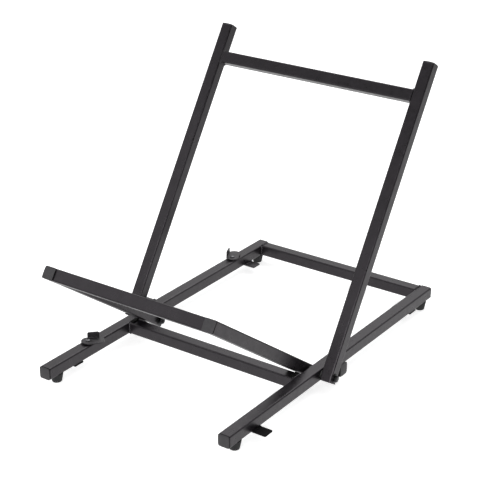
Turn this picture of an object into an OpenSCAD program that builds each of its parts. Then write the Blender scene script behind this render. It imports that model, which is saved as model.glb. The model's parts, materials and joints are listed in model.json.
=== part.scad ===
// Folding amp stand of square steel tube.
// X is the width, +Y the depth towards the back, +Z up. The origin is on the floor, in the
// middle of the footprint. Inside place(), y runs from the steel front ends of the two rails
// and z from their underside.

/* [Tube] */
// Outside width of the square steel tube
tube_w = 20; // [18:0.5:22]
// Wall thickness of the tube
tube_wall = 1.5; // [1:0.1:2]
// Outside corner radius of the tube
tube_r = 2.5; // [1.5:0.1:3]

/* [Base] */
// Length of a rail's steel tube
rail_len = 602; // [580:1:660]
// Width over the outer faces of the two rails
base_w = 363; // [320:1:430]
// Pivot bolts, behind the rails' front ends
pivot_y = 246.4; // [230:0.1:260]

/* [Back] */
// Lean of the back, away from vertical
back_lean = 32.7; // [25:0.1:40]
// Steel of an upright above its pivot
upright_len = 516; // [470:1:570]
// Middle of the crossbar below the top end of the uprights' steel
back_bar_drop = 55.7; // [12:0.1:120]
// Gap between a rail and the upright outside it
upright_gap = 3; // [2:0.5:6]

/* [Tray] */
// Rise of the tray arms above level
tray_rise = 35.6; // [30:0.1:42]
// Steel of a tray arm in front of its pivot
tray_len = 307; // [270:1:315]
// Gap between a rail and the tray arm inside it
arm_gap = 3; // [2:0.5:5]
// Steel of an upright or an arm that runs past its pivot
tail_len = 9; // [8:0.1:10]

/* [Stops] */
// Thickness of the rubber pads that the tray rests on
tray_pad_t = 2.5; // [1:0.1:4]
// Width of those pads, out to the rails
tray_pad_w = 6.5; // [5:0.5:12]
// Thickness of the rubber pads that the back rests on
back_pad_t = 6.5; // [3:0.5:9]
// Steel of a stub beyond the rail's outer face
stub_len = 17; // [14:0.5:20]

/* [Rest strips] */
// Width of the flat strips that carry the folded frames
strip_w = 20; // [15:1:26]
// Thickness of the strips
strip_t = 2.5; // [2:0.5:4]
// Middle of the front strips, behind the rails' front ends
front_strip_y = 68; // [56:1:80]
// Reach of the front strips beyond the rails' outer faces
front_strip_reach = 21.5; // [18:0.5:25]
// Middle of the rear strips, ahead of the rails' rear ends
rear_strip_inset = 61.5; // [48:0.5:80]
// Reach of the rear strips beyond the rails' inner faces
rear_strip_reach = 18.5; // [12:0.5:23]
// Corner radius of a strip's free end
strip_r = 2; // [1:0.5:5]

/* [Swivel clips] */
// Thickness of the clips' sheet steel
clip_t = 2; // [1.5:0.1:2.5]
// Width of a clip
clip_w = 22; // [21.5:0.5:24]
// Reach of a clip beyond its screw
clip_reach = 27; // [25:0.5:30]
// Corner radius of a clip's tip
clip_tip_r = 10.5; // [5:0.5:10.5]
// Length of the turned-up finger tab
tab_len = 19.5; // [14:0.5:20]
// Height of the finger tab from the clip's underside
tab_h = 11.5; // [9:0.5:14]
// Radius of the tab's upper corners
tab_r = 3; // [1:0.5:4]
// Inside radius of the bend
bend_r = 1; // [0.5:0.1:1.5]
// Front clip's screw, behind the rails' front ends
front_clip_y = 101.5; // [95:0.5:145]
// Rear clip's screw, ahead of the rails' rear ends
rear_clip_inset = 100; // [92:0.5:130]
// Direction of the front clip, turned from +X
front_clip_turn = 46; // [0:1:60]
// Direction of the rear clip, turned from +X
rear_clip_turn = 112; // [90:1:150]

/* [Clip fasteners] */
// Radius of the clip screws' thread
clip_screw_r = 2; // [1.8:0.1:2.3]
// Length of a clip screw below its head
clip_screw_len = 16; // [13:0.5:18]
// Radius of a clip screw's head
clip_head_r = 3.8; // [3.2:0.1:4.6]
// Height of a clip screw's head
clip_head_h = 2.4; // [2:0.1:3.5]
// Outside radius of the rivet nut that takes the screw
rivet_r = 3.5; // [3.4:0.1:4]
// Depth of the rivet nut below the rail's top face
rivet_len = 12; // [9:0.5:13]
// Radius of the rivet nut's rim
rivet_rim_r = 5; // [4.5:0.1:6]
// Thickness of the rivet nut's rim
rivet_rim_t = 0.6; // [0.5:0.1:1]
// Outside radius of the washer under a clip
clip_washer_r = 6.5; // [6:0.5:8]
// Thickness of the washer under a clip
clip_washer_t = 0.8; // [0.6:0.1:1.6]

/* [Pivots] */
// Radius of the pivot bolts
bolt_r = 3; // [2.5:0.1:3.5]
// Length of a pivot bolt below its head
bolt_len = 76; // [75:0.5:90]
// Width across flats of the bolt heads and lock nuts
hex_af = 10; // [9:0.5:11]
// Height of a bolt head
hex_h = 3.6; // [3:0.1:5]
// Height of a lock nut, with its collar
nut_h = 6; // [5:0.5:6.5]
// Height of a lock nut's round collar
nut_collar_h = 1.4; // [0.8:0.1:2]
// Outside radius of the washers
washer_r = 7.5; // [6.5:0.5:9]
// Thickness of the washers
washer_t = 1.2; // [0.8:0.1:1.6]
// Outside radius of the spacers between the tubes
spacer_r = 7; // [5:0.5:8.5]

/* [Feet] */
// Height of a rubber foot
foot_h = 15; // [13:0.5:20]
// Radius of a foot where it meets the rail
foot_top_r = 9.7; // [9:0.1:10]
// Radius of a foot at the floor
foot_low_r = 7.6; // [7.4:0.1:8.5]
// Radius of a foot's rounded lower edge
foot_edge_r = 1; // [0.5:0.1:1.2]
// Front feet, behind the rails' front ends
front_foot_y = 25; // [14:0.5:40]
// Rear feet, ahead of the rails' rear ends
rear_foot_inset = 18.5; // [11:0.5:30]
// Depth of the pocket that hides a foot's screw
pocket_depth = 8; // [6:0.5:10]
// Radius of that pocket
pocket_r = 4.9; // [4.8:0.1:5.2]
// Radius of the foot screws' thread
foot_screw_r = 2.5; // [2:0.1:2.5]
// Length of a foot screw below its head
foot_screw_len = 16; // [13:0.5:22]
// Radius of a foot screw's head
foot_head_r = 4; // [3.5:0.1:4.4]
// Height of a foot screw's head
foot_head_h = 3; // [2:0.1:3.5]
// Outside radius of the washer in a foot
foot_washer_r = 4.6; // [4.4:0.1:4.7]
// Thickness of the washer in a foot
foot_washer_t = 1; // [0.8:0.1:1.4]

/* [End caps] */
// Thickness of an end cap in front of the steel
cap_t = 3; // [2:0.1:4]
// Radius of the domed face of an end cap
cap_dome_r = 90; // [60:1:150]
// Depth of the cap's plug inside the tube
plug_len = 12; // [8:0.5:14]
// Wall of the hollow plug
plug_wall = 1.6; // [1.2:0.1:2.5]

/* [Fits] */
// Radial clearance where a tube or clip turns on its bolt or screw
turn_clear = 0.08; // [0.05:0.01:0.1]
// Radial clearance round pieces that don't turn
still_clear = 0.05; // [0.03:0.01:0.1]
// Gap beside a face that slides past another
face_clear = 0.1; // [0.05:0.01:0.15]
// Gap at rest between a moving tube and its stop pad
stop_clear = 0.05; // [0.02:0.01:0.1]
// Gap round a cap's plug inside the tube
plug_clear = 0.1; // [0.05:0.01:0.15]

/* [Hidden] */
$fn = 48;
dome_fn = 240;
left = -1;
right = 1;
cut = 1;

half = tube_w / 2;
inner_w = tube_w - 2 * tube_wall;
inner_r = max(tube_r - tube_wall, 0.3);
pivot_z = half;
flat_w = tube_w - 2 * tube_r;

rail_x = base_w / 2 - half;
rail_in = base_w / 2 - tube_w;
rail_out = base_w / 2;
upright_in = rail_out + upright_gap;
upright_out = upright_in + tube_w;
upright_x = upright_in + half;
arm_out = rail_in - arm_gap;
arm_in = arm_out - tube_w;
arm_x = arm_in + half;

// The pads lie on the flats between the tubes' rounded corners. The front crossbar stands where
// its pads stop the arms' undersides at tray_rise.
pad_top = tube_w + tray_pad_t;
tray_stop_run = (half + stop_clear + (pad_top - pivot_z) * cos(tray_rise)) / sin(tray_rise);
front_bar_y = pivot_y - tray_stop_run - flat_w / 2;
rear_bar_y = rail_len - half;

// The stubs stand where their pads stop the uprights' rear faces at back_lean.
back_stop_run = (half + stop_clear + flat_w / 2 * sin(back_lean)) / cos(back_lean);
back_pad_y = pivot_y + back_stop_run;
stub_y = back_pad_y + back_pad_t + half;
back_bar_u = upright_len - back_bar_drop;

rear_strip_y = rail_len - rear_strip_inset;
strip_out = rail_out + front_strip_reach;
strip_in = rail_in - rear_strip_reach;
rear_foot_y = rail_len - rear_foot_inset;

rear_clip_y = rail_len - rear_clip_inset;
clip_x = -rail_x;
clip_washer_z = tube_w + rivet_rim_t;
clip_z = clip_washer_z + clip_washer_t + face_clear;
clip_head_z = clip_z + clip_t + face_clear;
bend_out_r = bend_r + clip_t;

bolt_bore_r = bolt_r + turn_clear;
head_x = upright_out + face_clear + washer_t;
nut_x = arm_in - face_clear - washer_t;
nut_hex_h = nut_h - nut_collar_h;
nut_collar_r = 0.45 * hex_af;
hex_r = hex_af / 2 / cos(30);
tip_chamfer = 1;

plug_w = inner_w - 2 * plug_clear;
cap_edge_drop = cap_dome_r - sqrt(cap_dome_r ^ 2 - half ^ 2);
front_most = pivot_y - (tray_len + cap_t - cap_edge_drop) * cos(tray_rise) - half * sin(tray_rise);
rear_most = rail_len + cap_t;
mid_y = (front_most + rear_most) / 2;

paint = [0.13, 0.13, 0.14];
strip_paint = [0.16, 0.16, 0.17];
plastic = [0.2, 0.2, 0.19];
rubber = [0.05, 0.05, 0.05];
black_steel = [0.17, 0.17, 0.18];
zinc = [0.75, 0.76, 0.78];
nylon = [0.85, 0.85, 0.82];
clip_paint = [0.1, 0.1, 0.1];

// ---- frames that the pieces are drawn in

// Floor frame: the middle of the footprint comes to the origin
module place() {
    translate([0, -mid_y, foot_h]) children();
}

// Back frame: origin on the pivot line, +Z up along the uprights, -Y out of their front faces
module on_back() {
    place() translate([0, pivot_y, pivot_z]) rotate([-back_lean, 0, 0]) children();
}

// Tray frame: origin on the pivot line, +Z forward along the arms, +Y out of their top faces
module on_tray() {
    place() translate([0, pivot_y, pivot_z]) rotate([90 - tray_rise, 0, 0]) children();
}

// ---- shapes that repeat

module rounded_square(w, r) {
    square([w - 2 * r, w], center = true);
    square([w, w - 2 * r], center = true);
    for (sx = [-1, 1], sy = [-1, 1])
        translate([sx * (w / 2 - r), sy * (w / 2 - r)]) circle(r);
}

module tube_section() {
    difference() {
        rounded_square(tube_w, tube_r);
        rounded_square(inner_w, inner_r);
    }
}

// Tube standing on z = 0
module tube_up(len) {
    linear_extrude(len) tube_section();
}

// Tube along X, centred on the origin
module tube_across(len) {
    rotate([0, 90, 0]) linear_extrude(len, center = true) tube_section();
}

// Hole or shaft along X through the whole width of a tube
module bore_across(r, len = tube_w + 2 * cut) {
    rotate([0, 90, 0]) cylinder(h = len, r = r, center = true);
}

module ring(outer_r, bore_r, h) {
    difference() {
        cylinder(h = h, r = outer_r);
        translate([0, 0, -cut]) cylinder(h = h + 2 * cut, r = bore_r);
    }
}

// Plastic end cap: its seat is z = 0, the domed face looks along +Z, the plug goes down
module end_cap() {
    color(plastic) {
        intersection() {
            linear_extrude(cap_t) rounded_square(tube_w, tube_r);
            translate([0, 0, cap_t - cap_dome_r]) sphere(cap_dome_r, $fn = dome_fn);
        }
        translate([0, 0, -plug_len]) linear_extrude(plug_len + cap_t / 4) difference() {
            rounded_square(plug_w, inner_r);
            square(plug_w - 2 * plug_wall, center = true);
        }
    }
}

// Six-sided prism with its end corners turned off, its seat at z = 0
module hex_prism(h) {
    chamfer = (hex_r - hex_af / 2) * tan(30);
    intersection() {
        cylinder(h = h, r = hex_r, $fn = 6);
        rotate_extrude() polygon([
            [0, 0], [hex_r, 0], [hex_r, h - chamfer], [hex_af / 2, h], [0, h]
        ]);
    }
}

// Pan head on a plain shank: the head's seat is z = 0 and the shank goes down
module pan_screw(head_r, head_h, shank_r, shank_len) {
    crown_r = (head_r ^ 2 + head_h ^ 2) / (2 * head_h) + head_h;
    intersection() {
        cylinder(h = head_h, r = head_r);
        translate([0, 0, head_h - crown_r]) sphere(crown_r, $fn = dome_fn);
    }
    translate([0, 0, -shank_len]) cylinder(h = shank_len + head_h / 2, r = shank_r);
}

// ---- base frame

module rail(side, clip_holes) {
    color(paint) place() translate([side * rail_x, 0, half]) difference() {
        rotate([-90, 0, 0]) tube_up(rail_len);
        translate([0, pivot_y, pivot_z - half]) bore_across(bolt_r + still_clear);
        for (y = [front_foot_y, rear_foot_y])
            translate([0, y, -half - cut]) cylinder(h = half, r = foot_screw_r + still_clear);
        for (y = clip_holes)
            translate([0, y, cut]) cylinder(h = half, r = rivet_r + still_clear);
    }
}

module left_rail() { rail(left, [front_clip_y, rear_clip_y]); }
module right_rail() { rail(right, []); }

module base_crossbar(y) {
    color(paint) place() translate([0, y, half]) tube_across(2 * rail_in);
}

module front_crossbar() { base_crossbar(front_bar_y); }
module rear_crossbar() { base_crossbar(rear_bar_y); }

module stop_stub(side) {
    color(paint) place() translate([side * (rail_out + stub_len / 2), stub_y, half])
        tube_across(stub_len);
}

module left_stop_stub() { stop_stub(left); }
module right_stop_stub() { stop_stub(right); }

// Flat strip under a rail, from its welded edge to its free, round-cornered end
module rest_strip(side, y, welded_x, free_x) {
    reach = free_x - welded_x;
    to_tip = sign(reach);
    color(strip_paint) place() translate([side * welded_x, y, -strip_t]) linear_extrude(strip_t) {
        body_len = abs(reach) - strip_r;
        translate([side * to_tip * body_len / 2, 0]) square([body_len, strip_w], center = true);
        translate([side * to_tip * (abs(reach) - strip_r), 0])
            square([2 * strip_r, strip_w - 2 * strip_r], center = true);
        for (s = [-1, 1])
            translate([side * to_tip * body_len, s * (strip_w / 2 - strip_r)]) circle(strip_r);
    }
}

module left_front_strip() { rest_strip(left, front_strip_y, rail_in, strip_out); }
module right_front_strip() { rest_strip(right, front_strip_y, rail_in, strip_out); }
module left_rear_strip() { rest_strip(left, rear_strip_y, rail_out, strip_in); }
module right_rear_strip() { rest_strip(right, rear_strip_y, rail_out, strip_in); }

// Rubber pad on the flat top of the front crossbar, in the corner beside a rail
module tray_pad(side) {
    pad_x = rail_in - tray_pad_w / 2;
    color(rubber) place() translate([side * pad_x, front_bar_y, tube_w + tray_pad_t / 2])
        cube([tray_pad_w, flat_w, tray_pad_t], center = true);
}

module left_tray_pad() { tray_pad(left); }
module right_tray_pad() { tray_pad(right); }

// Rubber pad on the flat front of a stub, from the upright's inner face to the stub's cap
module back_pad(side) {
    pad_w = rail_out + stub_len - upright_in;
    color(rubber) place()
        translate([side * (upright_in + pad_w / 2), back_pad_y + back_pad_t / 2, half])
        cube([pad_w, back_pad_t, flat_w], center = true);
}

module left_back_pad() { back_pad(left); }
module right_back_pad() { back_pad(right); }

module front_rail_cap(side) {
    place() translate([side * rail_x, 0, half]) rotate([90, 0, 0]) end_cap();
}

module rear_rail_cap(side) {
    place() translate([side * rail_x, rail_len, half]) rotate([-90, 0, 0]) end_cap();
}

module front_left_rail_cap() { front_rail_cap(left); }
module front_right_rail_cap() { front_rail_cap(right); }
module rear_left_rail_cap() { rear_rail_cap(left); }
module rear_right_rail_cap() { rear_rail_cap(right); }

module stub_cap(side) {
    place() translate([side * (rail_out + stub_len), stub_y, half]) rotate([0, side * 90, 0])
        end_cap();
}

module left_stub_cap() { stub_cap(left); }
module right_stub_cap() { stub_cap(right); }

// ---- feet

function foot_edge(steps) = [
    for (i = [0 : steps])
        let (a = -90 + 90 * i / steps)
            [foot_low_r - foot_edge_r + foot_edge_r * cos(a), foot_edge_r + foot_edge_r * sin(a)]
];

module foot(side, y) {
    bore_r = foot_screw_r + still_clear;
    color(rubber) translate([0, -mid_y, 0]) translate([side * rail_x, y, 0])
        rotate_extrude() polygon(concat(
            [[pocket_r, pocket_depth], [pocket_r, 0]],
            foot_edge(6),
            [[foot_top_r, foot_h], [bore_r, foot_h], [bore_r, pocket_depth]]
        ));
}

module front_left_foot() { foot(left, front_foot_y); }
module front_right_foot() { foot(right, front_foot_y); }
module rear_left_foot() { foot(left, rear_foot_y); }
module rear_right_foot() { foot(right, rear_foot_y); }

// The four feet's places, z = 0 where the washer meets the roof of the pocket
module at_feet() {
    for (side = [left, right], y = [front_foot_y, rear_foot_y])
        place() translate([side * rail_x, y, pocket_depth - foot_h]) children();
}

module foot_washers() {
    color(zinc) at_feet() translate([0, 0, -foot_washer_t])
        ring(foot_washer_r, foot_screw_r + still_clear, foot_washer_t);
}

module foot_screws() {
    color(zinc) at_feet() translate([0, 0, -foot_washer_t]) mirror([0, 0, 1])
        pan_screw(foot_head_r, foot_head_h, foot_screw_r, foot_screw_len);
}

// ---- pivots: z = 0 is the middle of the stand and +Z points out to the side

module on_pivot(side) {
    place() translate([0, pivot_y, pivot_z]) rotate([0, side * 90, 0]) children();
}

module on_both_pivots() {
    for (side = [left, right]) on_pivot(side) children();
}

module pivot_bolt(side) {
    color(black_steel) on_pivot(side) translate([0, 0, head_x]) {
        hex_prism(hex_h);
        translate([0, 0, -bolt_len + tip_chamfer]) cylinder(h = bolt_len, r = bolt_r);
        translate([0, 0, -bolt_len])
            cylinder(h = tip_chamfer, r1 = bolt_r - tip_chamfer, r2 = bolt_r);
    }
}

module left_pivot_bolt() { pivot_bolt(left); }
module right_pivot_bolt() { pivot_bolt(right); }

module pivot_nuts() {
    color(black_steel) on_both_pivots() translate([0, 0, nut_x]) mirror([0, 0, 1]) difference() {
        union() {
            hex_prism(nut_hex_h);
            cylinder(h = nut_h, r = nut_collar_r);
        }
        translate([0, 0, -cut]) cylinder(h = nut_h + 2 * cut, r = bolt_r + still_clear);
    }
}

module pivot_washers() {
    color(black_steel) on_both_pivots() {
        translate([0, 0, head_x - washer_t]) ring(washer_r, bolt_r + still_clear, washer_t);
        translate([0, 0, nut_x]) ring(washer_r, bolt_r + still_clear, washer_t);
    }
}

module outer_spacers() {
    color(nylon) on_both_pivots() translate([0, 0, rail_out])
        ring(spacer_r, bolt_r + still_clear, upright_gap - face_clear);
}

module inner_spacers() {
    color(nylon) on_both_pivots() translate([0, 0, arm_out + face_clear])
        ring(spacer_r, bolt_r + still_clear, arm_gap - face_clear);
}

// ---- clip fasteners: z = 0 is the top face of the left rail

module at_clips() {
    for (y = [front_clip_y, rear_clip_y])
        place() translate([clip_x, y, tube_w]) children();
}

module clip_rivet_nuts() {
    color(zinc) at_clips() difference() {
        union() {
            cylinder(h = rivet_rim_t, r = rivet_rim_r);
            translate([0, 0, -rivet_len]) cylinder(h = rivet_len + rivet_rim_t / 2, r = rivet_r);
        }
        translate([0, 0, -rivet_len - cut])
            cylinder(h = rivet_len + rivet_rim_t + 2 * cut, r = clip_screw_r + still_clear);
    }
}

module clip_washers() {
    color(nylon) at_clips() translate([0, 0, rivet_rim_t])
        ring(clip_washer_r, clip_screw_r + still_clear, clip_washer_t);
}

module clip_screws() {
    color(zinc) at_clips() translate([0, 0, clip_head_z - tube_w])
        pan_screw(clip_head_r, clip_head_h, clip_screw_r, clip_screw_len);
}

// ---- folding back

module upright(side) {
    color(paint) on_back() translate([side * upright_x, 0, 0]) difference() {
        translate([0, 0, -tail_len]) tube_up(tail_len + upright_len);
        bore_across(bolt_bore_r);
    }
}

module left_upright() { upright(left); }
module right_upright() { upright(right); }

module back_crossbar() {
    color(paint) on_back() translate([0, 0, back_bar_u]) tube_across(2 * upright_in);
}

module upright_cap(side) {
    on_back() translate([side * upright_x, 0, upright_len]) end_cap();
}

module left_upright_cap() { upright_cap(left); }
module right_upright_cap() { upright_cap(right); }

// ---- folding tray

module tray_arm(side) {
    color(paint) on_tray() translate([side * arm_x, 0, 0]) difference() {
        translate([0, 0, -tail_len]) tube_up(tail_len + tray_len);
        bore_across(bolt_bore_r);
    }
}

module left_tray_arm() { tray_arm(left); }
module right_tray_arm() { tray_arm(right); }

module tray_front_bar() {
    color(paint) on_tray() translate([0, 0, tray_len - half]) tube_across(2 * arm_in);
}

module arm_cap(side) {
    on_tray() translate([side * arm_x, 0, tray_len]) end_cap();
}

module left_arm_cap() { arm_cap(left); }
module right_arm_cap() { arm_cap(right); }

// ---- swivel clips, drawn with the screw on the Z axis and the tip towards +X

// Flat of the clip: round end, straight sides, round-cornered tip, less the strip that bends up
module clip_flat() {
    difference() {
        union() {
            circle(clip_w / 2);
            translate([0, -clip_w / 2]) square([clip_reach - clip_tip_r, clip_w]);
            translate([0, clip_tip_r - clip_w / 2]) square([clip_reach, clip_w - 2 * clip_tip_r]);
            for (s = [-1, 1])
                translate([clip_reach - clip_tip_r, s * (clip_w / 2 - clip_tip_r)])
                    circle(clip_tip_r);
        }
        translate([0, clip_w / 2 - bend_out_r]) square([tab_len, bend_out_r + cut]);
        circle(clip_screw_r + turn_clear);
    }
}

// Section through the bend and the finger tab
module tab_section() {
    translate([clip_w / 2 - bend_out_r, bend_out_r]) intersection() {
        difference() {
            circle(bend_out_r);
            circle(bend_r);
        }
        translate([0, -bend_out_r]) square(bend_out_r);
    }
    translate([clip_w / 2 - clip_t, bend_out_r]) square([clip_t, tab_h - bend_out_r]);
}

// Side view of the tab, with its upper corners rounded
module tab_side() {
    square([tab_len, tab_h - tab_r]);
    translate([tab_r, 0]) square([tab_len - 2 * tab_r, tab_h]);
    for (x = [tab_r, tab_len - tab_r]) translate([x, tab_h - tab_r]) circle(tab_r);
}

module swivel_clip(y, turn) {
    color(clip_paint) place() translate([clip_x, y, clip_z]) rotate([0, 0, turn]) {
        linear_extrude(clip_t) clip_flat();
        intersection() {
            rotate([90, 0, 90]) linear_extrude(tab_len) tab_section();
            translate([0, clip_w, 0]) rotate([90, 0, 0]) linear_extrude(2 * clip_w) tab_side();
        }
    }
}

module front_clip() { swivel_clip(front_clip_y, front_clip_turn); }
module rear_clip() { swivel_clip(rear_clip_y, rear_clip_turn); }

left_rail();
right_rail();
front_crossbar();
rear_crossbar();
left_stop_stub();
right_stop_stub();
left_front_strip();
right_front_strip();
left_rear_strip();
right_rear_strip();
left_tray_pad();
right_tray_pad();
left_back_pad();
right_back_pad();
front_left_rail_cap();
front_right_rail_cap();
rear_left_rail_cap();
rear_right_rail_cap();
left_stub_cap();
right_stub_cap();
front_left_foot();
front_right_foot();
rear_left_foot();
rear_right_foot();
foot_washers();
foot_screws();
left_pivot_bolt();
right_pivot_bolt();
pivot_nuts();
pivot_washers();
outer_spacers();
inner_spacers();
clip_rivet_nuts();
clip_washers();
clip_screws();
left_upright();
right_upright();
back_crossbar();
left_upright_cap();
right_upright_cap();
left_tray_arm();
right_tray_arm();
tray_front_bar();
left_arm_cap();
right_arm_cap();
front_clip();
rear_clip();
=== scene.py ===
import json
from math import cos, radians, sin

import bpy
from mathutils import Matrix, Vector

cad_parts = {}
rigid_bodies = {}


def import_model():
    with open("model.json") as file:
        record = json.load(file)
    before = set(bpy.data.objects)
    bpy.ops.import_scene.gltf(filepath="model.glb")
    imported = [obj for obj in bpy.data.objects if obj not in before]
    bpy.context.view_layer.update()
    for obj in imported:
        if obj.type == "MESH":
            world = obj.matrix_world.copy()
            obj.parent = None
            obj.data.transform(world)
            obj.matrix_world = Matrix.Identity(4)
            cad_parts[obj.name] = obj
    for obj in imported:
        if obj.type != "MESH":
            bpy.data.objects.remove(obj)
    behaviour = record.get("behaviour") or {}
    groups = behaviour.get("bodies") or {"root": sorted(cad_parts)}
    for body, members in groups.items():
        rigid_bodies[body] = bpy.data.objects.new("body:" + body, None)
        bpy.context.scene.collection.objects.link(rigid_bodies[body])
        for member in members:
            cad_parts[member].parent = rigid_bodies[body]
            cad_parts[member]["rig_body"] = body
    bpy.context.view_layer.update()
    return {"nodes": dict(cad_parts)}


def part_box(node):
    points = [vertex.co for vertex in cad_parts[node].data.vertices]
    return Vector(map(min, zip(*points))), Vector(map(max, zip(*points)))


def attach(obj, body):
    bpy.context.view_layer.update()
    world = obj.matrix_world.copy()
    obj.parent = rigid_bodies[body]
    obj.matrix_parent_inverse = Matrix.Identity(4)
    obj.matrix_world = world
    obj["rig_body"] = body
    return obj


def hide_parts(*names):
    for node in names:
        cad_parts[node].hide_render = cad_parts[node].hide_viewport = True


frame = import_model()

MM = 0.001
nodes = frame["nodes"]

# ---- Tubes ----------------------------------------------------------------------------------
# Rails, crossbars, stubs, uprights, arms and bars are square tube of mild steel with a black satin
# powder coat, sprayed dry and baked. The film is slightly uneven and keeps a faint orange peel.


def node_material(name, colour, roughness):
    """A new material with its shader, ready for a pattern. Colour and roughness are the plain ones."""
    material = bpy.data.materials.new(name)
    material.use_nodes = True
    shader = material.node_tree.nodes["Principled BSDF"]
    shader.inputs["Base Color"].default_value = (*colour, 1)
    shader.inputs["Roughness"].default_value = roughness
    return material, shader


def noise(material, size, detail=3):
    """Noise on the piece's own coordinates, whose blotches are about size metres across."""
    tree = material.node_tree
    place = tree.nodes.new("ShaderNodeTexCoord")
    pattern = tree.nodes.new("ShaderNodeTexNoise")
    pattern.inputs["Scale"].default_value = 1 / size
    pattern.inputs["Detail"].default_value = detail
    tree.links.new(place.outputs["Object"], pattern.inputs["Vector"])
    return pattern.outputs["Fac"]


def ramp(material, value, stops):
    """Colours or greys laid over a pattern, from (place, colour) stops."""
    node = material.node_tree.nodes.new("ShaderNodeValToRGB")
    band = node.color_ramp
    while len(band.elements) < len(stops):
        band.elements.new(0.5)
    for element, (place, colour) in zip(band.elements, stops):
        element.position = place
        element.color = (*colour, 1) if isinstance(colour, tuple) else (colour, colour, colour, 1)
    material.node_tree.links.new(value, node.inputs["Fac"])
    return node.outputs["Color"]


def vary(material, socket, value, stops):
    """A shader's socket driven by a pattern, through a ramp."""
    material.node_tree.links.new(ramp(material, value, stops), socket)


def shade(colour, share):
    """The colour made darker or lighter by a share."""
    return tuple(c * share for c in colour)


def bump(material, shader, value, height, strength):
    """Relief of the given height in metres, on top of any relief that the shader has."""
    tree = material.node_tree
    relief = tree.nodes.new("ShaderNodeBump")
    relief.inputs["Strength"].default_value = strength
    relief.inputs["Distance"].default_value = height
    tree.links.new(value, relief.inputs["Height"])
    below = shader.inputs["Normal"].links
    if below:
        tree.links.new(below[0].from_socket, relief.inputs["Normal"])
    tree.links.new(relief.outputs["Normal"], shader.inputs["Normal"])


MOTTLE = 22 * MM
SHEEN = 9 * MM
PEEL = 1.6 * MM
PEEL_HEIGHT = 0.06 * MM
WAVE = 50 * MM
WAVE_HEIGHT = 0.4 * MM
REFLECTION_TINT = (1.0, 0.93, 1.0, 1)


def powder_coat(name, colour, roughness, gloss=0.5):
    """Baked powder coat: a slightly uneven film, with orange peel on long shallow waves."""
    material, shader = node_material(name, colour, roughness)
    film = [(0.3, shade(colour, 0.75)), (0.7, shade(colour, 1.25))]
    vary(material, shader.inputs["Base Color"], noise(material, MOTTLE, 5), film)
    sheen = [(0.3, roughness - 0.05), (0.7, roughness + 0.06)]
    vary(material, shader.inputs["Roughness"], noise(material, SHEEN), sheen)
    shader.inputs["Specular IOR Level"].default_value = gloss
    shader.inputs["Specular Tint"].default_value = REFLECTION_TINT
    bump(material, shader, noise(material, PEEL, 2), PEEL_HEIGHT, 0.5)
    bump(material, shader, noise(material, WAVE, 1), WAVE_HEIGHT, 0.25)
    return material


frame_black = powder_coat("black_powder_coat", (0.0112, 0.0098, 0.0116), 0.31)
for name in (
    "left_rail", "right_rail", "front_crossbar", "rear_crossbar",
    "left_stop_stub", "right_stop_stub",
    "left_upright", "right_upright", "back_crossbar",
    "left_tray_arm", "right_tray_arm", "tray_front_bar",
):
    nodes[name].data.materials.clear()
    nodes[name].data.materials.append(frame_black)

# ---- Rest strips ----------------------------------------------------------------------------
# Flat bar welded across the underside of each rail, carrying the folded frames. Sheared to
# length, with the corners ground round. The front pair is coloured darker and duller than the
# rear pair.

MERGE = 0.01 * MM
FLAT_ANGLE = radians(1)
SMOOTH_ANGLE = radians(35)


def select_only(piece):
    bpy.ops.object.select_all(action="DESELECT")
    piece.select_set(True)
    bpy.context.view_layer.objects.active = piece


def break_edges(piece, edge, steps, angle=40):
    """The active piece's edges sharper than angle rounded by edge metres, in so many steps."""
    rounding = piece.modifiers.new("broken_edges", "BEVEL")
    rounding.width = edge
    rounding.segments = steps
    rounding.limit_method = "ANGLE"
    rounding.angle_limit = radians(angle)
    bpy.ops.object.modifier_apply(modifier=rounding.name)
    bpy.ops.object.shade_smooth_by_angle(angle=SMOOTH_ANGLE)


def soften(node, edge, material, angle=40, steps=3):
    """The CAD piece with its sharp edges rounded by edge metres, standing in for the node."""
    source = nodes[node]
    piece = bpy.data.objects.new(node + "_finished", source.data.copy())
    bpy.context.scene.collection.objects.link(piece)
    select_only(piece)
    bpy.ops.mesh.customdata_custom_splitnormals_clear()
    bpy.ops.object.mode_set(mode="EDIT")
    bpy.ops.mesh.select_all(action="SELECT")
    bpy.ops.mesh.remove_doubles(threshold=MERGE)
    bpy.ops.mesh.dissolve_limited(angle_limit=FLAT_ANGLE)
    bpy.ops.object.mode_set(mode="OBJECT")
    break_edges(piece, edge, steps, angle)
    piece.data.materials.clear()
    piece.data.materials.append(material)
    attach(piece, source["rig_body"])
    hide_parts(node)
    return piece


STRIP_EDGE = 0.5 * MM
flat_black = powder_coat("strip_flat_black", (0.0065, 0.0062, 0.0066), 0.7, gloss=0.12)
satin_black = powder_coat("strip_satin_black", (0.020, 0.0185, 0.0205), 0.42)
for side in ("left", "right"):
    soften(f"{side}_front_strip", STRIP_EDGE, flat_black)
    soften(f"{side}_rear_strip", STRIP_EDGE, satin_black)

# ---- Weld beads -----------------------------------------------------------------------------
# The crossbars, stubs, strips and the bars of the two folding frames are MIG welded to the tubes
# beside them. Each bead is a row of overlapping ripples. Most beads take a coat that is glossier
# than the frame's and painted lighter, as a painted glint on the beads.

TUBE = 20 * MM
WELD_RADIUS = 1.9 * MM
BEAD_SIDES = 12
BEAD_SMOOTH_ANGLE = radians(50)
BEAD_TIP = 0.45
RIPPLE = 1.3 * MM
RIPPLE_STEPS = ((0.35, 1.0), (0.4, 0.95), (0.25, 0.78))
# Several times lighter than the frame's coat: the extra lightness is a painted glint.
weld_coat_with_painted_glint = powder_coat("weld_coat_painted_glint", (0.040, 0.038, 0.041), 0.24)


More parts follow.
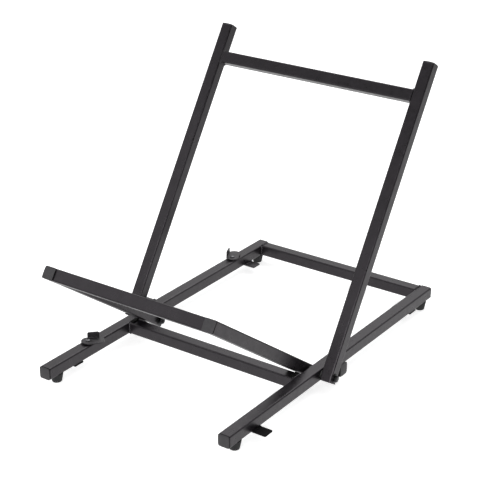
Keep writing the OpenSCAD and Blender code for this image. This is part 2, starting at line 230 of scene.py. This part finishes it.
def weld_bead(length):
    """One bead along +Z from the origin: a disc drawn out ring by ring, swelling at each ripple.
    A ripple's steps are shares of its length and of the bead's radius."""
    bpy.ops.object.select_all(action="DESELECT")
    tip = WELD_RADIUS * BEAD_TIP
    bpy.ops.mesh.primitive_circle_add(vertices=BEAD_SIDES, radius=tip, fill_type="NGON")
    bead = bpy.context.object
    bpy.ops.object.mode_set(mode="EDIT")
    bpy.ops.mesh.select_all(action="SELECT")
    ripples = round(length / RIPPLE)
    steps = list(RIPPLE_STEPS) * ripples
    steps[-1] = (steps[-1][0], BEAD_TIP)
    width, height = BEAD_TIP, 0.0
    for share, target in steps:
        rise = share * length / ripples
        height += rise
        bpy.ops.mesh.extrude_region_move(TRANSFORM_OT_translate={"value": (0, 0, rise)})
        bpy.ops.transform.resize(value=(target / width,) * 3, center_override=(0, 0, height))
        width = target
    bpy.ops.mesh.select_all(action="SELECT")
    bpy.ops.mesh.normals_make_consistent(inside=False)
    bpy.ops.object.mode_set(mode="OBJECT")
    bpy.ops.object.shade_smooth_by_angle(angle=BEAD_SMOOTH_ANGLE)
    return bead


def lay_beads(name, runs, body, coat=weld_coat_with_painted_glint):
    """Copies of one bead along each run (start, end, sink), joined into one piece on a body."""
    masters = {}
    laid = []
    for start, end, sink in runs:
        start, end = Vector(start), Vector(end)
        along = end - start
        length = round(along.length, 4)
        if length not in masters:
            masters[length] = weld_bead(length)
        bead = masters[length].copy()
        bead.data = masters[length].data.copy()
        bpy.context.scene.collection.objects.link(bead)
        turn = Vector((0, 0, 1)).rotation_difference(along).to_matrix().to_4x4()
        bead.data.transform(Matrix.Translation(start + Vector(sink)) @ turn)
        laid.append(bead)
    for master in masters.values():
        bpy.data.objects.remove(master)
    bpy.ops.object.select_all(action="DESELECT")
    for bead in laid:
        bead.select_set(True)
    bpy.context.view_layer.objects.active = laid[0]
    bpy.ops.object.join()
    weld = bpy.context.object
    weld.name = name
    weld.data.materials.append(coat)
    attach(weld, body)


BUTT_INSET = 1 * MM
BUTT_OUT = 0.4 * MM
BUTT_SINK = 0.3 * MM


def butt_weld(x, outward, centre, across, up):
    """The four runs round a square tube that butts a flat face at x, seen along X. The tube's own
    section axes are across and up, and outward is the side of the face that the tube is on."""
    across, up = Vector(across), Vector(up)
    half = TUBE / 2
    straight = half - BUTT_INSET
    runs = []
    for away, along in ((across, up), (-across, up), (up, across), (-up, across)):
        middle = Vector((x, centre.y, centre.z)) + away * half
        sink = Vector((outward * BUTT_OUT, 0, 0)) - away * BUTT_SINK
        runs.append((middle - along * straight, middle + along * straight, sink))
    return runs


def frame_axes(angle):
    """The section axes of the cross tubes in a frame that is turned about X by angle degrees."""
    turn = radians(angle)
    return (0, -cos(turn), sin(turn)), (0, sin(turn), cos(turn))


BACK_LEAN = 32.7
TRAY_RISE = 35.6
LEVEL_AXES = ((0, 1, 0), (0, 0, 1))
BACK_AXES = frame_axes(BACK_LEAN)
TRAY_AXES = frame_axes(TRAY_RISE)

# A crossbar butts the rails with both of its ends, and a stub only with its inner one.
base_runs = []
for name, ends in (
    ("front_crossbar", (0, 1)), ("rear_crossbar", (0, 1)),
    ("left_stop_stub", (1,)), ("right_stop_stub", (0,)),
):
    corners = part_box(name)
    middle = (corners[0] + corners[1]) / 2
    for end in ends:
        base_runs += butt_weld(corners[end].x, -1 if end else 1, middle, *LEVEL_AXES)
lay_beads("base_frame_welds", base_runs, "base")

# The bars of the folding frames lie flush with their side tubes, so the runs on the flush faces
# are dressed flat before coating and only those in the corners stand out.
for name, bar, axes, flush, body in (
    ("back_frame_welds", "back_crossbar", BACK_AXES, (0, 1), "back"),
    ("tray_frame_welds", "tray_front_bar", TRAY_AXES, (0, 2, 3), "tray"),
):
    low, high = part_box(bar)
    middle = (low + high) / 2
    corner_runs = []
    for x, outward in ((low.x, 1), (high.x, -1)):
        four = butt_weld(x, outward, middle, *axes)
        corner_runs += [run for n, run in enumerate(four) if n not in flush]
    lay_beads(name, corner_runs, body)

# The front strips reach out and the rear ones in, and each is welded along that side of its rail:
# 0 is the rail's left side, 1 its right. The front runs take the darker, duller colour of their
# strips.
STRIP_RUN_INSET = 1.5 * MM
STRIP_RUN_OUT = 0.9 * MM
STRIP_RUN_LIFT = 0.3 * MM
for end, sides, coat in (("front", (0, 1), flat_black), ("rear", (1, 0), weld_coat_with_painted_glint)):
    strip_runs = []
    for rail, side in zip(("left", "right"), sides):
        low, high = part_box(f"{rail}_{end}_strip")
        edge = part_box(f"{rail}_rail")[side].x
        start = (edge, low.y + STRIP_RUN_INSET, high.z)
        finish = (edge, high.y - STRIP_RUN_INSET, high.z)
        away = STRIP_RUN_OUT if side else -STRIP_RUN_OUT
        strip_runs.append((start, finish, (away, 0, STRIP_RUN_LIFT)))
    lay_beads(f"{end}_strip_welds", strip_runs, "base", coat)

# ---- Rubber pads ----------------------------------------------------------------------------
# Pads of black rubber glued to the front crossbar and to the stubs, where the tray arms and the
# uprights come to rest. They are cut from sheet, and the stubs' pads reach out to the caps' faces.
# The rubber is made very dark and dull, so the pads also stand in as painted shade under the arms
# and in the gap between each upright and its stub.

GRAIN = 0.7 * MM
GRAIN_HEIGHT = 0.08 * MM
BLOOM = 12 * MM


def black_rubber(name, colour, roughness, gloss):
    """Rubber: matt, with a fine grain and a grey bloom in patches."""
    material, shader = node_material(name, colour, roughness)
    bloom = [(0.45, colour), (0.8, shade(colour, 2.0))]
    vary(material, shader.inputs["Base Color"], noise(material, BLOOM, 6), bloom)
    shader.inputs["Specular IOR Level"].default_value = gloss
    bump(material, shader, noise(material, GRAIN, 4), GRAIN_HEIGHT, 0.6)
    return material


def pick_points(piece, wanted):
    """The piece opened for editing, with only those points selected whose place is wanted."""
    select_only(piece)
    bpy.ops.object.mode_set(mode="EDIT")
    bpy.ops.mesh.select_all(action="DESELECT")
    bpy.ops.object.mode_set(mode="OBJECT")
    for point in piece.data.vertices:
        point.select = wanted(point.co)
    bpy.ops.object.mode_set(mode="EDIT")


PAD_EDGE = 0.35 * MM
# The back pads are drawn out to the caps' faces, so their dark rubber fills the gap by each upright as
# painted shade.
PAD_OVERHANG = 3 * MM
# Very dark and nearly without gloss: partly the rubber's own colour, partly painted shade.
pad_rubber_and_shade = black_rubber("pad_rubber_and_shade", (0.008, 0.008, 0.008), 0.85, 0.08)
for side, outward in (("left", -1), ("right", 1)):
    soften(f"{side}_tray_pad", PAD_EDGE, pad_rubber_and_shade)
    pad = soften(f"{side}_back_pad", PAD_EDGE, pad_rubber_and_shade)
    low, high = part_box(f"{side}_back_pad")
    middle = (low.x + high.x) / 2
    pick_points(pad, lambda place: (place.x - middle) * outward > 0)
    bpy.ops.transform.translate(value=(outward * PAD_OVERHANG, 0, 0))
    bpy.ops.object.mode_set(mode="OBJECT")

# ---- End caps -------------------------------------------------------------------------------
# Square caps of injection moulded polyethylene, pushed into the tubes' ends. The face is domed
# and its rim is rounded, with the slight sheen of a spark-eroded mould.

SKIN = 6 * MM
SKIN_SHEEN = 3 * MM
PITS = 0.5 * MM
PIT_DEPTH = 0.05 * MM


def moulded_plastic(name, colour, roughness=0.5):
    """Moulded plastic: an even colour, a fine pitted texture and a soft sheen."""
    material, shader = node_material(name, colour, roughness)
    skin = [(0.35, colour), (0.75, shade(colour, 1.3))]
    vary(material, shader.inputs["Base Color"], noise(material, SKIN, 4), skin)
    sheen = [(0.3, roughness - 0.06), (0.7, roughness + 0.08)]
    vary(material, shader.inputs["Roughness"], noise(material, SKIN_SHEEN), sheen)
    bump(material, shader, noise(material, PITS, 3), PIT_DEPTH, 0.5)
    return material


CAP_FLANGE = 3 * MM
CAP_EDGE = 0.8 * MM
SNUG_EDGE = 0.4 * MM
CAP_ANGLE = 50
PLUG_HALF = 8.55 * MM
SEAT_SLACK = 0.1 * MM
GAP_INSET = 0.88


def undercut(cap, node, outward):
    """A shadow gap round the cap's seat, where its flange stands off the tube's cut end."""
    outward = Vector(outward)
    side = Vector((0, 1, 0)) if abs(outward.x) > 0.5 else Vector((1, 0, 0))
    across = outward.cross(side)
    seat = max(point.co.dot(outward) for point in cap.data.vertices) - CAP_FLANGE
    low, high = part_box(node)
    middle = (low + high) / 2
    middle += outward * (seat - middle.dot(outward))

    def on_seat_rim(place):
        offset = place - middle
        level = -SEAT_SLACK < offset.dot(outward) < CAP_EDGE + SEAT_SLACK
        return level and max(abs(offset.dot(side)), abs(offset.dot(across))) > PLUG_HALF

    pick_points(cap, on_seat_rim)
    bpy.ops.transform.resize(value=(GAP_INSET,) * 3, center_override=middle)
    bpy.ops.object.mode_set(mode="OBJECT")


cap_plastic = moulded_plastic("cap_plastic", (0.036, 0.034, 0.037))
for name, outward in (
    ("front_left_rail_cap", (0, -1, 0)), ("front_right_rail_cap", (0, -1, 0)),
    ("rear_left_rail_cap", (0, 1, 0)), ("rear_right_rail_cap", (0, 1, 0)),
    ("left_stub_cap", (-1, 0, 0)), ("right_stub_cap", (1, 0, 0)),
    ("left_arm_cap", TRAY_AXES[0]), ("right_arm_cap", TRAY_AXES[0]),
):
    undercut(soften(name, CAP_EDGE, cap_plastic, CAP_ANGLE), name, outward)

# The uprights' caps are driven fully home, so they show no gap.
for name in ("left_upright_cap", "right_upright_cap"):
    soften(name, SNUG_EDGE, cap_plastic, CAP_ANGLE)

# ---- Feet -----------------------------------------------------------------------------------
# Tapered bumpers of moulded black rubber under the rails, flared towards the top. A screw with a
# washer, sunk in a pocket from below, holds each one.


def turned_ring(profile, sides):
    """A ring turned about Z from the (radius, height) points of its section, in order."""
    bpy.ops.object.select_all(action="DESELECT")
    radius, height = profile[0]
    bpy.ops.mesh.primitive_circle_add(vertices=sides, radius=radius, fill_type="NOTHING")
    ring = bpy.context.object
    bpy.ops.object.mode_set(mode="EDIT")
    bpy.ops.mesh.select_all(action="SELECT")
    bpy.ops.transform.translate(value=(0, 0, height))
    for width, level in profile[1:] + profile[:1]:
        rise = (0, 0, level - height)
        bpy.ops.mesh.extrude_edges_move(TRANSFORM_OT_translate={"value": rise})
        spread = width / radius
        bpy.ops.transform.resize(value=(spread, spread, 1), center_override=(0, 0, level))
        radius, height = width, level
    bpy.ops.mesh.select_all(action="SELECT")
    bpy.ops.mesh.remove_doubles(threshold=MERGE)
    bpy.ops.mesh.normals_make_consistent(inside=False)
    bpy.ops.object.mode_set(mode="OBJECT")
    return ring


FOOT_HEIGHT = 15 * MM
FOOT_TOP = 10.8 * MM
FOOT_LOW = 8.1 * MM
FOOT_ROUND = 1.2 * MM
ROUND_STEPS = 4
FOOT_EDGE = 0.3 * MM
FOOT_SIDES = 64
POCKET_RADIUS = 4.9 * MM
POCKET_DEPTH = 8 * MM
SCREW_BORE = 2.55 * MM
foot_rubber = black_rubber("foot_rubber", (0.022, 0.022, 0.023), 0.6, 0.35)
foot_profile = [(SCREW_BORE, FOOT_HEIGHT), (FOOT_TOP, FOOT_HEIGHT)]
for step in range(ROUND_STEPS + 1):
    turn = radians(90 * step / ROUND_STEPS)
    foot_profile.append((FOOT_LOW - FOOT_ROUND * (1 - cos(turn)), FOOT_ROUND * (1 - sin(turn))))
foot_profile += [(POCKET_RADIUS, 0), (POCKET_RADIUS, POCKET_DEPTH), (SCREW_BORE, POCKET_DEPTH)]
for end in ("front", "rear"):
    for side in ("left", "right"):
        node = f"{end}_{side}_foot"
        low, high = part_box(node)
        foot = turned_ring(foot_profile, FOOT_SIDES)
        foot.name = f"{node}_finished"
        foot.data.transform(Matrix.Translation(((low.x + high.x) / 2, (low.y + high.y) / 2, low.z)))
        break_edges(foot, FOOT_EDGE, 2)
        foot.data.materials.append(foot_rubber)
        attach(foot, nodes[node]["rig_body"])
        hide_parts(node)

# ---- Pivots ---------------------------------------------------------------------------------
# An M6 hexagon bolt goes through each upright, rail and arm, with washers outside, spacers
# between the tubes and a lock nut inside. The bolts and nuts are black zinc plated.

TARNISH = 4 * MM
WEAR = 1.5 * MM
TURNING = 0.4 * MM
TURNING_HEIGHT = 0.03 * MM


def plated_steel(name, colour, roughness):
    """Turned and plated steel: fine turning marks, a little tarnish and wear."""
    material, shader = node_material(name, colour, roughness)
    shader.inputs["Metallic"].default_value = 1.0
    film = [(0.3, shade(colour, 0.65)), (0.7, colour)]
    vary(material, shader.inputs["Base Color"], noise(material, TARNISH, 5), film)
    wear = [(0.3, roughness - 0.08), (0.75, roughness + 0.12)]
    vary(material, shader.inputs["Roughness"], noise(material, WEAR), wear)
    bump(material, shader, noise(material, TURNING, 2), TURNING_HEIGHT, 0.5)
    return material


BOLT_EDGE = 0.25 * MM
WASHER_EDGE = 0.25 * MM
SPACER_EDGE = 0.4 * MM
black_zinc = plated_steel("black_zinc", (0.045, 0.045, 0.048), 0.3)
nylon = moulded_plastic("nylon", (0.045, 0.045, 0.045), 0.45)
for name in ("left_pivot_bolt", "right_pivot_bolt"):
    soften(name, BOLT_EDGE, black_zinc, steps=2)
soften("pivot_washers", WASHER_EDGE, black_zinc, steps=2)
nuts = soften("pivot_nuts", BOLT_EDGE, black_zinc, steps=2)
for name in ("outer_spacers", "inner_spacers"):
    soften(name, SPACER_EDGE, nylon, steps=2)


def cut_away(piece, cutter):
    """Cut one shape out of a finished piece, and drop the cutter."""
    select_only(piece)
    cut = piece.modifiers.new("cut", "BOOLEAN")
    cut.operation = "DIFFERENCE"
    cut.solver = "EXACT"
    cut.object = cutter
    bpy.ops.object.modifier_apply(modifier=cut.name)
    bpy.data.objects.remove(cutter)
    bpy.ops.object.shade_smooth_by_angle(angle=SMOOTH_ANGLE)


# The nylon ring that locks each nut sits in the mouth of its collar, round the bolt's end.
NUT_HEIGHT = 6 * MM
INSERT_OUTER = 3.9 * MM
INSERT_INNER = 3.05 * MM
INSERT_DEPTH = 0.9 * MM
INSERT_SINK = 0.3 * MM
INSERT_EDGE = 0.15 * MM
INSERT_SIDES = 40
depth = INSERT_DEPTH - INSERT_SINK
insert_profile = [(INSERT_INNER, 0), (INSERT_OUTER, 0), (INSERT_OUTER, depth), (INSERT_INNER, depth)]
low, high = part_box("pivot_nuts")
centre = (low + high) / 2
for side, inward in (("left", 1), ("right", -1)):
    mouth = Vector((-inward * (high.x - NUT_HEIGHT), centre.y, centre.z))
    bpy.ops.object.select_all(action="DESELECT")
    bpy.ops.mesh.primitive_cylinder_add(
        vertices=INSERT_SIDES, radius=INSERT_OUTER, depth=2 * INSERT_DEPTH, location=mouth,
        rotation=(0, radians(90), 0),
    )
    cut_away(nuts, bpy.context.object)
    insert = turned_ring(insert_profile, INSERT_SIDES)
    insert.name = f"{side}_nut_insert"
    bpy.ops.object.mode_set(mode="EDIT")
    bpy.ops.mesh.select_all(action="SELECT")
    bpy.ops.mesh.bevel(offset=INSERT_EDGE, segments=2, affect="EDGES")
    bpy.ops.object.mode_set(mode="OBJECT")
    start = mouth - Vector((inward * INSERT_DEPTH, 0, 0))
    turn = Matrix.Rotation(radians(90 * inward), 4, "Y")
    insert.data.transform(Matrix.Translation(start) @ turn)
    bpy.ops.object.shade_smooth_by_angle(angle=SMOOTH_ANGLE)
    insert.data.materials.append(nylon)
    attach(insert, nodes["pivot_nuts"]["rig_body"])

# ---- Swivel clips ---------------------------------------------------------------------------
# Each clip is a blank of 2 mm sheet steel with a finger tab bent up along one side, powder
# coated, turning on a pan head screw in a rivet nut. It hooks over a folded frame.

CLIP_EDGE = 0.35 * MM
FIXING_EDGE = 0.2 * MM
clip_black = powder_coat("clip_powder_coat", (0.020, 0.020, 0.021), 0.4)
bright_zinc = plated_steel("bright_zinc", (0.26, 0.26, 0.27), 0.45)
for name in ("front_clip", "rear_clip"):
    soften(name, CLIP_EDGE, clip_black)
soften("clip_washers", WASHER_EDGE, nylon, steps=2)
soften("clip_rivet_nuts", FIXING_EDGE, bright_zinc, steps=2)
screws = soften("clip_screws", FIXING_EDGE, bright_zinc, steps=2)

# Two crossed slots make the recess in each screw's head. One box holds both screws, so the heads'
# centres lie one head radius in from its front and its back.
SCREW_HEAD = 3.8 * MM
SLOT = (4.2 * MM, 0.9 * MM, 2.6 * MM)
SLOT_TURN = 20
low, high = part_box("clip_screws")
for place in (low.y + SCREW_HEAD, high.y - SCREW_HEAD):
    for angle in (SLOT_TURN, SLOT_TURN + 90):
        bpy.ops.object.select_all(action="DESELECT")
        bpy.ops.mesh.primitive_cube_add(
            size=1, location=((low.x + high.x) / 2, place, high.z), rotation=(0, 0, radians(angle)),
            scale=SLOT,
        )
        cut_away(screws, bpy.context.object)

# ---- Foot screws ----------------------------------------------------------------------------
# The pan head screws and washers that hold the feet, bright zinc plated. They are sunk in the
# feet's pockets, so only the heads show, from below.

FOOT_WASHER_EDGE = 0.15 * MM
soften("foot_washers", FOOT_WASHER_EDGE, bright_zinc, steps=2)
soften("foot_screws", FIXING_EDGE, bright_zinc, steps=2)

# ---- Floor and light ------------------------------------------------------------------------
# A plain white floor that runs out of sight, lit by a wide low soft box in front, a small one at
# the front left and a large one overhead at the back. It still takes the stand's shadow.

FLOOR_SIZE = 7.0
FLOOR_DROP = 0.2 * MM
SEEN_GLOW = 0.7
MIRRORED_GLOW = 1.1
MIRRORED_FADE = [(0.0, 0.1), (0.22, 0.2), (0.30, 1.0), (0.6, 1.0)]
bpy.ops.object.select_all(action="DESELECT")
bpy.ops.mesh.primitive_plane_add(size=FLOOR_SIZE, location=(0, 0, -FLOOR_DROP))
floor = bpy.context.object
floor.name = "floor"
floor_white, floor_shader = node_material("floor_white", (0.8, 0.8, 0.8), 0.9)
floor_shader.inputs["Specular IOR Level"].default_value = 0.0
floor_shader.inputs["Emission Color"].default_value = (1, 1, 1, 1)
paint = floor_white.node_tree
rays = paint.nodes.new("ShaderNodeLightPath")
seen = paint.nodes.new("ShaderNodeMath")
seen.operation = "MULTIPLY"
seen.inputs[1].default_value = SEEN_GLOW
paint.links.new(rays.outputs["Is Camera Ray"], seen.inputs[0])
paint.links.new(seen.outputs[0], floor_shader.inputs["Emission Strength"])

# In reflections the floor is bright where it is looked down on and fades out towards the horizon.
slope = paint.nodes.new("ShaderNodeNewGeometry")
steepness = paint.nodes.new("ShaderNodeVectorMath")
steepness.operation = "DOT_PRODUCT"
paint.links.new(slope.outputs["Incoming"], steepness.inputs[0])
paint.links.new(slope.outputs["Normal"], steepness.inputs[1])
mirrored = paint.nodes.new("ShaderNodeEmission")
mirrored.inputs["Strength"].default_value = MIRRORED_GLOW
fade = ramp(floor_white, steepness.outputs["Value"], MIRRORED_FADE)
paint.links.new(fade, mirrored.inputs["Color"])
either = paint.nodes.new("ShaderNodeMixShader")
paint.links.new(rays.outputs["Is Glossy Ray"], either.inputs["Fac"])
paint.links.new(floor_shader.outputs["BSDF"], either.inputs[1])
paint.links.new(mirrored.outputs["Emission"], either.inputs[2])
paint.links.new(either.outputs["Shader"], paint.nodes["Material Output"].inputs["Surface"])
floor.data.materials.append(floor_white)

# The room: a bright sheet overhead at the back, darker towards the front and at the sides. The
# eye sees only white paper beyond the floor.
BRIGHT_SIDE = (-0.35, 0.6, 0.72)
ROOM_FADE = [(0.0, 0.08), (0.27, 0.28), (0.6, 0.70), (0.95, 0.87)]
world = bpy.data.worlds.new("studio")
bpy.context.scene.world = world
world.use_nodes = True
sky = world.node_tree
heading = sky.nodes.new("ShaderNodeTexCoord")
towards = sky.nodes.new("ShaderNodeVectorMath")
towards.operation = "DOT_PRODUCT"
towards.inputs[1].default_value = BRIGHT_SIDE
sky.links.new(heading.outputs["Generated"], towards.inputs[0])
room = ramp(world, towards.outputs["Value"], ROOM_FADE)
background = sky.nodes["Background"]
sky.links.new(room, background.inputs["Color"])
paper = sky.nodes.new("ShaderNodeBackground")
paper.inputs["Color"].default_value = (1, 1, 1, 1)
eye = sky.nodes.new("ShaderNodeLightPath")
mix = sky.nodes.new("ShaderNodeMixShader")
sky.links.new(eye.outputs["Is Camera Ray"], mix.inputs["Fac"])
sky.links.new(background.outputs["Background"], mix.inputs[1])
sky.links.new(paper.outputs["Background"], mix.inputs[2])
sky.links.new(mix.outputs["Shader"], sky.nodes["World Output"].inputs["Surface"])


def soft_light(name, place, target, width, height, power):
    """A soft box that faces target."""
    lamp = bpy.data.lights.new(name, "AREA")
    lamp.shape = "RECTANGLE"
    lamp.size = width
    lamp.size_y = height
    lamp.energy = power
    holder = bpy.data.objects.new(name, lamp)
    bpy.context.scene.collection.objects.link(holder)
    holder.location = place
    aim = Vector(target) - Vector(place)
    holder.rotation_euler = aim.to_track_quat("-Z", "Y").to_euler()


soft_light("front_light", (0.9, -2.9, 1.48), (0.1, 0, 0.1), width=4.0, height=1.1, power=66)
soft_light("left_light", (-1.25, -1.5, 1.07), (0, 0, 0.2), width=1.2, height=1.2, power=4.0)
soft_light("top_light", (-0.4, 1.6, 2.6), (0, 0, 0.1), width=1.8, height=1.8, power=30)

# ---- Camera ---------------------------------------------------------------------------------
# A long lens 1.1 m above the floor, in front of the stand and to its right. Place, turn and lens
# were solved from the straight edges of the tubes.

CAMERA_PLACE = (1.1958, -1.7226, 1.1091)
CAMERA_YAW = 35.01
CAMERA_PITCH = -23.69
CAMERA_ROLL = 0.25
LENS = 107.02
SENSOR_WIDTH = 36
camera_data = bpy.data.cameras.new("camera")
camera_data.lens = LENS
camera_data.sensor_width = SENSOR_WIDTH
camera = bpy.data.objects.new("camera", camera_data)
bpy.context.scene.collection.objects.link(camera)
camera.matrix_world = (
    Matrix.Translation(CAMERA_PLACE)
    @ Matrix.Rotation(radians(CAMERA_YAW), 4, "Z")
    @ Matrix.Rotation(radians(90 + CAMERA_PITCH), 4, "X")
    @ Matrix.Rotation(radians(CAMERA_ROLL), 4, "Z")
)
bpy.context.scene.camera = camera
bpy.context.scene.view_settings.view_transform = "Standard"
